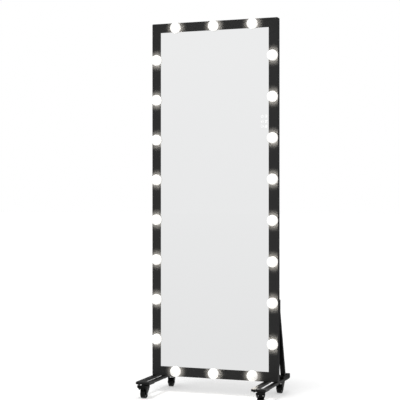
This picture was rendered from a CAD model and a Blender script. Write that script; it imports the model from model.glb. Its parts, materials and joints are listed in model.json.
"""Lamp-lit full-length mirror on casters: looks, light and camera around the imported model."""
import json
import math

import bmesh
import bpy
from mathutils import Matrix, Vector


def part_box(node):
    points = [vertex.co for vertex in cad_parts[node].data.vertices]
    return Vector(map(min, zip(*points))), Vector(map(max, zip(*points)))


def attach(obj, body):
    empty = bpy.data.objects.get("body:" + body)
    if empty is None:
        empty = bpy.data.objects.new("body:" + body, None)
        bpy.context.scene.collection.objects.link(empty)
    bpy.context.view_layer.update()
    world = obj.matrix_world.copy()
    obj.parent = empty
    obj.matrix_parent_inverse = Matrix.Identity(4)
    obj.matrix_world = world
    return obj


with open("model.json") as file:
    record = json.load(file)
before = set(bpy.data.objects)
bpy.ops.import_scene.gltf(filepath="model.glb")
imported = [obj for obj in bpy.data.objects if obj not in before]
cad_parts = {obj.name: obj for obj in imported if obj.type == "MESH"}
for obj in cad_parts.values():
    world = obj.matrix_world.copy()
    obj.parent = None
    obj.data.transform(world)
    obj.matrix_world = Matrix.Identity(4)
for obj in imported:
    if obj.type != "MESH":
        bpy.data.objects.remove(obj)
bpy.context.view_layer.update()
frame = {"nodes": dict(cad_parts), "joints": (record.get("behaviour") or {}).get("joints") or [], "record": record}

nodes = frame["nodes"]
MM = 0.001

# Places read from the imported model, and sizes that its boxes don't give
glass_face_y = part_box("mirror_glass")[0].y
face_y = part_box("rail_right")[0].y
mid_z = (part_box("rail_bottom")[0].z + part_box("rail_top")[1].z) / 2
panel_back_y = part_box("back_panel")[1].y
foot_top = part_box("foot_right")[1].z
FOOT_T = 10 * MM
plate_top = foot_top - FOOT_T
joints = {joint["name"]: joint for joint in frame["joints"]}
GLOBE_R = 24 * MM
GLOBE_LIFT = 8 * MM
INLET_DEPTH = 9.5 * MM
globe_names = sorted(name for name in nodes if name.startswith("bulb_"))
lamp_places = [(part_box(name)[0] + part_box(name)[1]) / 2 for name in globe_names]


# Camera, light and floor

CAMERA_AZIMUTH = math.radians(19.76)
CAMERA_OFFSET = Vector((1.565, -4.539))
LENS = 96.69
SENSOR = 36.0
HORIZON_DROP = 1 * MM
EYE_DISTANCE = 4.8


def make_camera():
    """The photograph's camera: level, to the object's right, at the mirror's mid height."""
    data = bpy.data.cameras.new("camera")
    data.lens = LENS
    data.sensor_width = SENSOR
    camera = bpy.data.objects.new("camera", data)
    bpy.context.scene.collection.objects.link(camera)
    camera.location = (CAMERA_OFFSET.x, face_y + CAMERA_OFFSET.y, mid_z - HORIZON_DROP)
    camera.rotation_euler = (math.pi / 2, 0, CAMERA_AZIMUTH)
    bpy.context.scene.camera = camera


# The studio's even light, and a key light from above and a little in front
AMBIENT = 0.7
KEY_STRENGTH = 1.0
KEY_FROM = Vector((-0.03, -0.27, 1.0))
KEY_ANGLE = math.radians(12)
FLOOR_ALBEDO = 0.62
FLOOR_LIFT = 0.46

# What the mirror shows: how bright the studio is at and above its horizon, and on the floor near the mirror
SKY_HIGH = 1.0
SKY_LOW = 0.972
SKY_RISE = 0.139
FLOOR_NEAR = 0.925
NEAR_REACH = 1.4
# How bright glossy rays find the studio behind the mirror, and between which directions and places it dims
BEHIND = 0.22
DIM_WAY = (-0.1, 0.4)
DIM_PLACE = (0.0, 0.6)


def maths(tree, operation, a, b):
    """A Math node on two inputs, each a number or another node's output."""
    node = tree.nodes.new("ShaderNodeMath")
    node.operation = operation
    for socket, value in zip(node.inputs, (a, b)):
        if isinstance(value, (int, float)):
            socket.default_value = value
        else:
            tree.links.new(value, socket)
    return node.outputs[0]


def seen_factor(tree, kinds):
    """A value that is 1 for the named kinds of ray and 0 for the rest."""
    path = tree.nodes.new("ShaderNodeLightPath")
    total = path.outputs[kinds[0]]
    for kind in kinds[1:]:
        total = maths(tree, "MAXIMUM", total, path.outputs[kind])
    return total


def ramp_between(tree, source, low, high, dark, light):
    """A grey that runs from dark to light as the source runs from low to high."""
    span = tree.nodes.new("ShaderNodeMapRange")
    span.inputs["From Min"].default_value = low
    span.inputs["From Max"].default_value = high
    span.inputs["To Min"].default_value = dark
    span.inputs["To Max"].default_value = light
    tree.links.new(source, span.inputs["Value"])
    return span.outputs["Result"]


def axes_of(tree, coordinates):
    """The X, Y and Z of one kind of texture coordinate."""
    place = tree.nodes.new("ShaderNodeTexCoord")
    split = tree.nodes.new("ShaderNodeSeparateXYZ")
    tree.links.new(place.outputs[coordinates], split.inputs[0])
    return split.outputs


def mixed(tree, factor, a, b):
    """Shader a where the factor is 0, and b where it is 1."""
    mix = tree.nodes.new("ShaderNodeMixShader")
    tree.links.new(factor, mix.inputs[0])
    tree.links.new(a, mix.inputs[1])
    tree.links.new(b, mix.inputs[2])
    return mix.outputs[0]


def make_world():
    """White to the camera, even light for the object, and a pale gradient for gloss and the mirror."""
    world = bpy.data.worlds.new("studio")
    bpy.context.scene.world = world
    world.use_nodes = True
    tree = world.node_tree
    tree.nodes.clear()
    out = tree.nodes.new("ShaderNodeOutputWorld")
    fill = tree.nodes.new("ShaderNodeBackground")
    seen = tree.nodes.new("ShaderNodeBackground")
    mirrored = tree.nodes.new("ShaderNodeBackground")
    for background in (fill, seen, mirrored):
        background.inputs["Color"].default_value = (1, 1, 1, 1)
    fill.inputs["Strength"].default_value = AMBIENT
    way = axes_of(tree, "Generated")
    front = ramp_between(tree, way["Z"], 0.0, SKY_RISE, SKY_LOW, SKY_HIGH)
    dim = ramp_between(tree, way["Y"], *DIM_WAY, 1.0, BEHIND)
    tree.links.new(maths(tree, "MULTIPLY", front, dim), mirrored.inputs["Strength"])
    glossy = seen_factor(tree, ["Is Glossy Ray", "Is Transmission Ray"])
    inner = mixed(tree, glossy, fill.outputs[0], mirrored.outputs[0])
    whole = mixed(tree, seen_factor(tree, ["Is Camera Ray"]), inner, seen.outputs[0])
    tree.links.new(whole, out.inputs["Surface"])


def make_key():
    """A broad lamp far above, which gives the soft shadow on the floor."""
    data = bpy.data.lights.new("key", "SUN")
    data.energy = KEY_STRENGTH
    data.angle = KEY_ANGLE
    key = bpy.data.objects.new("key", data)
    bpy.context.scene.collection.objects.link(key)
    key.rotation_euler = (-KEY_FROM).to_track_quat("-Z", "Y").to_euler()


# A glow lamp is as large as its globe. A halo lamp is a small spot before it that reaches just past its rim.
GLOW_TINT = (1.0, 0.95, 0.86)
GLOW_POWER = 0.15
HALO_POWER = 7.0
HALO_AHEAD = 60 * MM
HALO_REACH = 52 * MM
HALO_SIZE = 5 * MM


def lamp_group(name, linked, state):
    """A collection that light linking reads: the named nodes, taken in or left out."""
    group = bpy.data.collections.new(name)
    for i, node in enumerate(linked):
        group.objects.link(nodes[node])
        group.collection_objects[i].light_linking.link_state = state
    return group


def globe_lamps(data, ahead, group, mirrored=True):
    """One lamp before or in each globe, aimed at the frame."""
    data.color = GLOW_TINT
    for place in lamp_places:
        lamp = bpy.data.objects.new(data.name, data)
        lamp.location = (place.x, face_y - ahead, place.z)
        lamp.rotation_euler = (math.pi / 2, 0, 0)
        lamp.light_linking.receiver_collection = group
        lamp.visible_glossy = mirrored
        bpy.context.scene.collection.objects.link(lamp)


def make_glows():
    """The globes' light: a soft lamp in each, and a halo close round each on the frame's matt coat."""
    glow = bpy.data.lights.new("glow", "POINT")
    glow.energy = GLOW_POWER
    glow.shadow_soft_size = GLOBE_R
    globe_lamps(glow, GLOBE_LIFT, lamp_group("all_but_the_mirror", ["mirror_glass"], "EXCLUDE"))
    halo = bpy.data.lights.new("halo", "SPOT")
    halo.energy = HALO_POWER
    halo.spot_size = 2 * math.atan(HALO_REACH / HALO_AHEAD)
    halo.spot_blend = 1.0
    halo.shadow_soft_size = HALO_SIZE
    rails = ["rail_left", "rail_right", "rail_top", "rail_bottom"]
    globe_lamps(halo, HALO_AHEAD, lamp_group("the_frame", rails, "INCLUDE"), mirrored=False)
    for name in globe_names + ["lamp_bases", "led_boards"]:
        nodes[name].visible_shadow = False
        nodes[name].visible_glossy = False


def floor_material():
    """Pale and matt with its shadows for the camera, and the pale gradient's lower half for the mirror."""
    mat = bpy.data.materials.new("studio_floor")
    mat.use_nodes = True
    tree = mat.node_tree
    tree.nodes.clear()
    out = tree.nodes.new("ShaderNodeOutputMaterial")
    matt = tree.nodes.new("ShaderNodeBsdfDiffuse")
    matt.inputs["Color"].default_value = (FLOOR_ALBEDO, FLOOR_ALBEDO, FLOOR_ALBEDO, 1)
    lift = tree.nodes.new("ShaderNodeEmission")
    lift.inputs["Strength"].default_value = FLOOR_LIFT
    both = tree.nodes.new("ShaderNodeAddShader")
    tree.links.new(matt.outputs[0], both.inputs[0])
    tree.links.new(lift.outputs[0], both.inputs[1])
    direct = mixed(tree, seen_factor(tree, ["Is Camera Ray"]), matt.outputs[0], both.outputs[0])
    mirrored = tree.nodes.new("ShaderNodeEmission")
    place = axes_of(tree, "Object")
    # Even steps up the mirror are even steps in one over the distance that the mirrored view has gone
    way = maths(tree, "SUBTRACT", EYE_DISTANCE, place["Y"])
    nearness = maths(tree, "DIVIDE", EYE_DISTANCE + NEAR_REACH, way)
    front = ramp_between(tree, nearness, 0.0, 1.0, SKY_LOW, FLOOR_NEAR)
    dim = ramp_between(tree, place["Y"], *DIM_PLACE, 1.0, BEHIND)
    tree.links.new(maths(tree, "MULTIPLY", front, dim), mirrored.inputs["Strength"])
    glossy = seen_factor(tree, ["Is Glossy Ray", "Is Transmission Ray"])
    tree.links.new(mixed(tree, glossy, direct, mirrored.outputs[0]), out.inputs["Surface"])
    return mat


FLOOR_HALF = 60.0


def make_floor():
    """A wide floor under the wheels, which isn't part of the object."""
    mesh = bpy.data.meshes.new("floor")
    corners = [(x * FLOOR_HALF, y * FLOOR_HALF, 0) for x, y in ((-1, -1), (1, -1), (1, 1), (-1, 1))]
    mesh.from_pydata(corners, [], [(0, 1, 2, 3)])
    mesh.materials.append(floor_material())
    floor = bpy.data.objects.new("floor", mesh)
    bpy.context.scene.collection.objects.link(floor)


# Materials

def shader(name, color, roughness, metallic=0.0):
    """A new material with one Principled shader. Returns the material, its tree and the shader."""
    mat = bpy.data.materials.new(name)
    mat.use_nodes = True
    tree = mat.node_tree
    bsdf = next(n for n in tree.nodes if n.type == "BSDF_PRINCIPLED")
    bsdf.inputs["Base Color"].default_value = (*color, 1)
    bsdf.inputs["Roughness"].default_value = roughness
    bsdf.inputs["Metallic"].default_value = metallic
    return mat, tree, bsdf


def noise(tree, scale, detail=2.0, stretch=(1, 1, 1)):
    """Noise in the object's own metres; scale is in cells per metre."""
    place = tree.nodes.new("ShaderNodeTexCoord")
    size = tree.nodes.new("ShaderNodeMapping")
    size.inputs["Scale"].default_value = stretch
    texture = tree.nodes.new("ShaderNodeTexNoise")
    texture.inputs["Scale"].default_value = scale
    texture.inputs["Detail"].default_value = detail
    tree.links.new(place.outputs["Object"], size.inputs["Vector"])
    tree.links.new(size.outputs["Vector"], texture.inputs["Vector"])
    return texture.outputs["Fac"]


def bump(tree, bsdf, height, depth, strength):
    """Small relief from a height between 0 and 1, depth metres deep."""
    node = tree.nodes.new("ShaderNodeBump")
    node.inputs["Strength"].default_value = strength
    node.inputs["Distance"].default_value = depth
    tree.links.new(height, node.inputs["Height"])
    tree.links.new(node.outputs["Normal"], bsdf.inputs["Normal"])


# Noise values between which a colour or a roughness runs from one end to the other
COLOR_SPAN = (0.35, 0.65)
ROUGHNESS_SPAN = (0.3, 0.7)


def vary_color(tree, bsdf, source, dark, light):
    """Base colour that runs between two colours as the source crosses its span."""
    ramp = tree.nodes.new("ShaderNodeValToRGB")
    for stop, place, color in zip(ramp.color_ramp.elements, COLOR_SPAN, (dark, light)):
        stop.position = place
        stop.color = (*color, 1)
    tree.links.new(source, ramp.inputs["Fac"])
    tree.links.new(ramp.outputs["Color"], bsdf.inputs["Base Color"])


def vary_roughness(tree, bsdf, source, low, high):
    """Roughness that runs from low to high as the source crosses its span."""
    tree.links.new(ramp_between(tree, source, *ROUGHNESS_SPAN, low, high), bsdf.inputs["Roughness"])


def scaled(color, k):
    """A colour made k times as bright."""
    return tuple(c * k for c in color)


def glow_by_itself(bsdf, tint, strength):
    bsdf.inputs["Emission Color"].default_value = (*tint, 1)
    bsdf.inputs["Emission Strength"].default_value = strength


def powder_coat(name, color, roughness, gloss):
    """Baked powder on steel: slow colour drift, uneven gloss and a fine orange peel."""
    mat, tree, bsdf = shader(name, color, roughness)
    bsdf.inputs["Specular IOR Level"].default_value = gloss
    vary_color(tree, bsdf, noise(tree, 5.0, 3.0), scaled(color, 0.93), scaled(color, 1.07))
    vary_roughness(tree, bsdf, noise(tree, 60.0, 3.0), roughness - 0.04, roughness + 0.05)
    bump(tree, bsdf, noise(tree, 1500.0, 2.0), 0.06 * MM, 0.35)
    return mat


def moulded(name, color, roughness, gloss=0.5):
    """Moulded plastic or rubber with a fine grain."""
    mat, tree, bsdf = shader(name, color, roughness)
    bsdf.inputs["Specular IOR Level"].default_value = gloss
    vary_roughness(tree, bsdf, noise(tree, 90.0, 3.0), roughness - 0.06, roughness + 0.08)
    bump(tree, bsdf, noise(tree, 900.0, 3.0), 0.05 * MM, 0.3)
    return mat


def plated_steel():
    """Zinc-plated steel, brushed along its height."""
    roughness = 0.32
    mat, tree, bsdf = shader("zinc_plate", (0.42, 0.42, 0.43), roughness, 1.0)
    vary_roughness(tree, bsdf, noise(tree, 400.0, 3.0, (1, 1, 0.2)), roughness - 0.08, roughness + 0.1)
    return mat


def silvered_glass():
    """The mirror: a clean reflection that dims it slightly, with the least haze."""
    mat, tree, bsdf = shader("silvered_glass", (0.838, 0.842, 0.845), 0.0, 1.0)
    vary_roughness(tree, bsdf, noise(tree, 3.0, 2.0), 0.0, 0.012)
    return mat


GLOBE_GLOW = 0.5
GLOBE_TINT = (1.0, 0.985, 0.95)


def lit_globe():
    """Frosted glass lit from inside."""
    mat, tree, bsdf = shader("lit_globe", (0.82, 0.81, 0.79), 0.4)
    glow_by_itself(bsdf, GLOBE_TINT, GLOBE_GLOW)
    bump(tree, bsdf, noise(tree, 1200.0, 2.0), 0.03 * MM, 0.3)
    return mat


FROST_GLOW = 0.2


def backlit_frost():
    """Etched glass with the touch board's small lamps behind it."""
    mat, tree, bsdf = shader("etched_frost", (0.93, 0.94, 0.95), 0.6)
    glow_by_itself(bsdf, (1, 1, 1), FROST_GLOW)
    vary_roughness(tree, bsdf, noise(tree, 90.0, 3.0), 0.54, 0.68)
    bump(tree, bsdf, noise(tree, 900.0, 3.0), 0.05 * MM, 0.3)
    return mat


def laminate():
    """The back panel: dark board with a faint upright grain."""
    color = (0.021, 0.02, 0.02)
    mat, tree, bsdf = shader("laminate", color, 0.55)
    vary_color(tree, bsdf, noise(tree, 40.0, 4.0, (1, 1, 0.06)), scaled(color, 0.75), scaled(color, 1.3))
    bump(tree, bsdf, noise(tree, 300.0, 3.0, (1, 1, 0.08)), 0.08 * MM, 0.4)
    return mat


MATERIALS = {
    "frame": powder_coat("powder_coat", (0.011, 0.011, 0.011), 0.45, 0.25),
    "brace": powder_coat("powder_coat_black", (0.004, 0.004, 0.004), 0.4, 0.15),
    "mirror": silvered_glass(),
    "globe": lit_globe(),
    "panel": laminate(),
    "steel": plated_steel(),
    "tape": moulded("foam_tape", (0.02, 0.02, 0.02), 0.9),
    "lamp_base": moulded("lamp_base_plastic", (0.02, 0.02, 0.02), 0.5),
    "board": moulded("solder_mask", (0.78, 0.78, 0.76), 0.4),
    "wire": moulded("wire_insulation", (0.35, 0.03, 0.02), 0.45),
    "housing": moulded("housing_plastic", (0.6, 0.6, 0.58), 0.5),
    "inlet": moulded("inlet_plastic", (0.015, 0.015, 0.015), 0.4),
    "caster": moulded("nylon", (0.003, 0.003, 0.003), 0.3, gloss=0.12),
    "caster_metal": powder_coat("black_steel", (0.004, 0.004, 0.004), 0.3, 0.2),
    "wheel": moulded("tread", (0.003, 0.003, 0.003), 0.34, gloss=0.12),
}
FROST = backlit_frost()
SILICONE = moulded("silicone", (0.55, 0.55, 0.53), 0.5, gloss=0.3)
RECESS = moulded("recess_shade", (0.004, 0.004, 0.004), 0.7)
FOOT_COAT = powder_coat("foot_coat", (0.005, 0.005, 0.005), 0.36, 0.2)
PEDAL_COAT = powder_coat("pedal_coat", (0.004, 0.004, 0.004), 0.6, 0.1)


def dress_nodes():
    """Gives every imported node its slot's material, and the feet and pedals a coat of their own."""
    for part in frame["record"]["subparts"]:
        node = nodes[part["node"]]
        for place in node.material_slots:
            place.material = MATERIALS[part["material_slot"]]
    coats = {"foot_left": FOOT_COAT, "foot_right": FOOT_COAT}
    coats.update({"caster_fl_pedal": PEDAL_COAT, "caster_fr_pedal": PEDAL_COAT})
    for name, coat in coats.items():
        for place in nodes[name].material_slots:
            place.material = coat


BEVELLED = ["foot_left", "foot_right", "brace_left", "brace_right", "caster_plates"]
BEVELLED += [name for name in nodes if name.endswith(("_fork", "_pedal", "_wheel"))]
BEVEL = 0.6 * MM
BEVEL_FROM = math.radians(40)
SHARP_FROM = math.radians(35)


def soften_edges():
    """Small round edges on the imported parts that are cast, cut or moulded."""
    for name in BEVELLED:
        bevel = nodes[name].modifiers.new("edges", "BEVEL")
        bevel.width = BEVEL
        bevel.segments = 2
        bevel.limit_method = "ANGLE"
        bevel.angle_limit = BEVEL_FROM


# Pieces

def add_piece(name, bm, slot, body, material=None):
    """Turns a bmesh into a piece that rides on a body, with its slot's material unless another is given."""
    bmesh.ops.recalc_face_normals(bm, faces=bm.faces)
    mesh = bpy.data.meshes.new(name)
    for face in bm.faces:
        face.smooth = True
    bm.to_mesh(mesh)
    bm.free()
    mesh.set_sharp_from_angle(angle=SHARP_FROM)
    mesh.materials.append(material or MATERIALS[slot])
    piece = bpy.data.objects.new(name, mesh)
    bpy.context.scene.collection.objects.link(piece)
    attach(piece, body)
    return piece


def facing(place, axis):
    """The frame at a place whose Z points along an axis."""
    turn = Vector((0, 0, 1)).rotation_difference(Vector(axis)).to_matrix().to_4x4()
    return Matrix.Translation(place) @ turn


def lathe(bm, profile, stance, segments=32):
    """Turns a profile of (radius, height) round the Z of a frame."""
    rings = []
    for radius, height in profile:
        count = segments if radius > 0 else 1
        ring = []
        for i in range(count):
            angle = 2 * math.pi * i / segments
            spot = Vector((radius * math.cos(angle), radius * math.sin(angle), height))
            ring.append(bm.verts.new(stance @ spot))
        rings.append(ring)
    for low, high in zip(rings, rings[1:]):
        for i in range(segments):
            j = (i + 1) % segments
            around = [low[i % len(low)], low[j % len(low)], high[j % len(high)], high[i % len(high)]]
            bm.faces.new(list(dict.fromkeys(around)))


def prism(bm, outline, height, stance):
    """Raises a flat outline to a height along the Z of a frame."""
    low = [bm.verts.new(stance @ Vector((x, y, 0))) for x, y in outline]
    high = [bm.verts.new(stance @ Vector((x, y, height))) for x, y in outline]
    bm.faces.new(low)
    bm.faces.new(high)
    for i in range(len(outline)):
        j = (i + 1) % len(outline)
        bm.faces.new([low[i], low[j], high[j], high[i]])


def rounded_outline(width, height, radius, steps=5):
    """Corners of a rectangle centred on the origin, with round corners."""
    outline = []
    for quarter in range(4):
        middle = math.radians(45 + 90 * quarter)
        corner_x = math.copysign(width / 2 - radius, math.cos(middle))
        corner_y = math.copysign(height / 2 - radius, math.sin(middle))
        for step in range(steps + 1):
            angle = math.radians(90 * quarter + 90 * step / steps)
            outline.append((corner_x + radius * math.cos(angle), corner_y + radius * math.sin(angle)))
    return outline


WELD_PITCH = 1.6 * MM
BEAD_END = 0.6
BEAD_SEGMENTS = 10


def bead(bm, start, end, radius, ripple=0.0, pitch=WELD_PITCH):
    """A round bead from start to end, with round ends and even ripples along it."""
    run = end - start
    count = max(4, round(run.length / pitch) * 4)
    profile = [(0.0, -BEAD_END * radius)]
    for i in range(count + 1):
        swell = 1 + ripple * math.cos(math.pi * i / 2)
        profile.append((radius * swell, run.length * i / count))
    profile.append((0.0, run.length + BEAD_END * radius))
    lathe(bm, profile, facing(start, run.normalized()), BEAD_SEGMENTS)


SAME_POINT = 0.001 * MM


def shells(name):
    """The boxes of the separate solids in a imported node, as (lowest, highest) corners."""
    bm = bmesh.new()
    bm.from_mesh(nodes[name].data)
    bmesh.ops.remove_doubles(bm, verts=bm.verts, dist=SAME_POINT)
    boxes = []
    waiting = set(bm.verts)
    while waiting:
        group = [waiting.pop()]
        for vert in group:
            for edge in vert.link_edges:
                other = edge.other_vert(vert)
                if other in waiting:
                    waiting.remove(other)
                    group.append(other)
        low = Vector(min(v.co[i] for v in group) for i in range(3))
        high = Vector(max(v.co[i] for v in group) for i in range(3))
        boxes.append((low, high))
    bm.free()
    return sorted(boxes, key=lambda box: tuple(box[0]))


# The uppermost mark's place is measured from the mirror's middle. A ring has an outer and an inner radius.
TOUCH_MARK_X = 236.3 * MM
TOUCH_MARK_TOP = 366.6 * MM
TOUCH_MARK_PITCH = 21.8 * MM
TOUCH_MARKS = 3
MARK_RISE = 0.12 * MM
MARK_RING = (6.2 * MM, 3.2 * MM)
MARK_RING_SHIFT = -10.5 * MM
MARK_BAR = (9 * MM, 15 * MM)
MARK_BAR_SHIFT = 7.0 * MM
MARK_BAR_R = 3 * MM


def add_touch_marks():
    """A ring and a bar for each touch switch, etched in the glass."""
    outer, inner = MARK_RING
    for i in range(TOUCH_MARKS):
        z = mid_z + TOUCH_MARK_TOP - i * TOUCH_MARK_PITCH
        bm = bmesh.new()
        ring = [(outer, 0), (outer, MARK_RISE), (inner, MARK_RISE), (inner, 0), (outer, 0)]
        lathe(bm, ring, facing((TOUCH_MARK_X + MARK_RING_SHIFT, glass_face_y, z), (0, -1, 0)))
        bar = rounded_outline(*MARK_BAR, MARK_BAR_R)
        prism(bm, bar, MARK_RISE, facing((TOUCH_MARK_X + MARK_BAR_SHIFT, glass_face_y, z), (0, -1, 0)))
        add_piece(f"touch_mark_{i + 1}", bm, "mirror", "stand", FROST)


GASKET_W = 1.2 * MM
GASKET_RISE = 1.4 * MM
GASKET_SEGMENTS = 48


def add_globe_gaskets():
    """A pale gasket where each globe meets the frame."""
    seat = math.sqrt(GLOBE_R ** 2 - GLOBE_LIFT ** 2)
    out = seat + GASKET_W
    crest = seat + GASKET_W / 2
    rise = GASKET_RISE
    profile = [(seat - GASKET_W / 3, 0), (seat, rise), (crest, rise), (out, rise / 2), (out, 0)]
    bm = bmesh.new()
    for place in lamp_places:
        lathe(bm, profile, facing((place.x, face_y, place.z), (0, -1, 0)), GASKET_SEGMENTS)
    gaskets = add_piece("globe_gaskets", bm, "lamp_base", "stand", SILICONE)
    gaskets.visible_shadow = False


RECESS_RISE = 0.05 * MM
CROSS_SIZE = (4.2 * MM, 0.8 * MM, 0.24 * MM)
HEX_R = 1.8 * MM
HEAD_BELOW = 0.5 * MM


def cross_recess(bm, place, axis):
    """The dark cross on a screw's head."""
    stance = facing(place, axis)
    for turn in (0, math.pi / 2):
        arm = stance @ Matrix.Rotation(turn, 4, "Z")
        prism(bm, rounded_outline(*CROSS_SIZE), RECESS_RISE, arm)


def hex_outline(radius):
    """Corners of a hexagon round the origin."""
    return [(radius * math.cos(math.pi * i / 3), radius * math.sin(math.pi * i / 3)) for i in range(6)]


def add_recesses():
    """Cross recesses in the panel's screws and hexagon sockets in the caster bolts."""
    bm = bmesh.new()
    for low, high in shells("panel_screws"):
        middle = (low + high) / 2
        if high.y > panel_back_y:
            cross_recess(bm, (middle.x, high.y, middle.z), (0, 1, 0))
    add_piece("screw_recesses", bm, "steel", "stand", RECESS)
    bm = bmesh.new()
    for low, high in shells("caster_bolts"):
        if high.z > foot_top - HEAD_BELOW:
            middle = (low + high) / 2
            stance = facing((middle.x, middle.y, high.z), (0, 0, 1))
            prism(bm, hex_outline(HEX_R), RECESS_RISE, stance)
    add_piece("socket_recesses", bm, "caster_metal", "stand", RECESS)


TUBE_W = 19 * MM
STUB_H = 53 * MM
BRACE_REACH = 137 * MM
LEG_H = 10 * MM
WELD_R = 1.3 * MM
WELD_SINK = 0.5 * MM
WELD_RIPPLE = 0.16
WELD_START = 2 * MM
WELD_INSET = 1 * MM
PLUG_RISE = 1.8 * MM
PLUG_CORNER = 2 * MM
PLUG_BEVEL = 0.9 * MM
PLUG_INSET = 0.5 * MM


def add_brace_details():
    """Weld beads at the two bends of each brace, and a plug in the top of its tube."""
    for side in ("left", "right"):
        low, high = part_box(f"brace_{side}")
        bm = bmesh.new()
        bend_z = high.z - STUB_H
        back = low.y + TUBE_W - WELD_SINK
        for x in (low.x + WELD_SINK, high.x - WELD_SINK):
            start = Vector((x, low.y + WELD_START, bend_z))
            bead(bm, start, Vector((x, back, bend_z)), WELD_R, WELD_RIPPLE)
        bead(bm, Vector((low.x, back, bend_z)), Vector((high.x, back, bend_z)), WELD_R, WELD_RIPPLE)
        foot_z = low.z + LEG_H
        heel = face_y + BRACE_REACH
        toe = heel - TUBE_W / math.cos(slope_angle())
        for y in (heel, toe):
            start = Vector((low.x + WELD_INSET, y, foot_z))
            end = Vector((high.x - WELD_INSET, y, foot_z))
            bead(bm, start, end, WELD_R, WELD_RIPPLE)
        add_piece(f"brace_welds_{side}", bm, "brace", "stand")
        bm = bmesh.new()
        middle = Vector(((low.x + high.x) / 2, low.y + TUBE_W / 2, high.z))
        plug_w = TUBE_W - 2 * PLUG_INSET
        prism(bm, rounded_outline(plug_w, plug_w, PLUG_CORNER), PLUG_RISE, facing(middle, (0, 0, 1)))
        rim = [edge for edge in bm.edges if all(v.co.z > high.z + PLUG_RISE / 2 for v in edge.verts)]
        bmesh.ops.bevel(bm, geom=rim, offset=PLUG_BEVEL, segments=3, profile=0.5, affect="EDGES")
        add_piece(f"brace_plug_{side}", bm, "caster", "stand")


def slope_angle():
    """How far a brace's sloping tube leans from upright."""
    low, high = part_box("brace_right")
    frame_d = low.y - face_y
    return math.atan((BRACE_REACH - frame_d - TUBE_W) / (high.z - low.z - STUB_H))


# Y and Z of two places on the pedal's top, from the floor below its kingpin, before the caster is turned.
# A rib has its Y and half its length.
PEDAL_ROOT = (-21 * MM, 53.5 * MM)
PEDAL_TIP = (-50 * MM, 60.5 * MM)
PEDAL_RIBS = [(-48 * MM, 18.3 * MM), (-44.5 * MM, 17.2 * MM), (-41 * MM, 14.8 * MM)]
RIB_R = 1.5 * MM
RIB_PITCH = 8 * MM


def caster_stance(corner):
    """The frame on the floor below a kingpin, turned as its caster stands at rest."""
    king = Vector(joints[f"caster_{corner}_turn"]["pos_m"])
    axle = Vector(joints[f"caster_{corner}_roll"]["axis"])
    turn = Matrix.Rotation(math.atan2(axle.y, axle.x), 4, "Z")
    return Matrix.Translation((king.x, king.y, 0)) @ turn


def add_pedal_ribs():
    """Grip ribs across the tread of each brake pedal."""
    slope = (PEDAL_TIP[1] - PEDAL_ROOT[1]) / (PEDAL_TIP[0] - PEDAL_ROOT[0])
    for corner in ("fl", "fr"):
        bm = bmesh.new()
        for y, half in PEDAL_RIBS:
            z = PEDAL_ROOT[1] + slope * (y - PEDAL_ROOT[0])
            bead(bm, Vector((-half, y, z)), Vector((half, y, z)), RIB_R, 0.0, RIB_PITCH)
        bmesh.ops.transform(bm, matrix=caster_stance(corner), verts=bm.verts)
        add_piece(f"caster_{corner}_pedal_ribs", bm, "caster", f"caster_{corner}_brake")


RIVET_R = 6.5 * MM
RIVET_RISE = 2.2 * MM
RIVET_STEPS = 6


def add_kingpin_rivets():
    """The peened head of each kingpin, on its plate between the bars of the foot."""
    bm = bmesh.new()
    profile = [(RIVET_R, 0)]
    for i in range(1, RIVET_STEPS):
        angle = math.pi / 2 * i / RIVET_STEPS
        profile.append((RIVET_R * math.cos(angle), RIVET_RISE * math.sin(angle)))
    profile.append((0.0, RIVET_RISE))
    for corner in ("fl", "fr", "rl", "rr"):
        king = joints[f"caster_{corner}_turn"]["pos_m"]
        lathe(bm, profile, facing((king[0], king[1], plate_top), (0, 0, 1)))
    add_piece("kingpin_rivets", bm, "caster_metal", "stand")


PIN_R = 0.95 * MM
PIN_LENGTH = 7 * MM
PIN_SEGMENTS = 16


def add_inlet_pin():
    """The contact pin in the inlet's bore."""
    low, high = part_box("dc_inlet")
    middle_x = (low.x + high.x) / 2
    middle_z = (low.z + high.z) / 2
    tip = (0.6 * PIN_R, PIN_LENGTH - 0.3 * PIN_R)
    profile = [(PIN_R, 0), (PIN_R, PIN_LENGTH - PIN_R), tip, (0.0, PIN_LENGTH)]
    bm = bmesh.new()
    lathe(bm, profile, facing((middle_x, high.y - INLET_DEPTH, middle_z), (0, 1, 0)), PIN_SEGMENTS)
    add_piece("inlet_pin", bm, "steel", "stand")


make_camera()
make_world()
make_key()
make_glows()
make_floor()
dress_nodes()
soften_edges()
add_touch_marks()
add_globe_gaskets()
add_recesses()
add_brace_details()
add_pedal_ribs()
add_kingpin_rivets()
add_inlet_pin()

bpy.context.scene.view_settings.view_transform = "Standard"
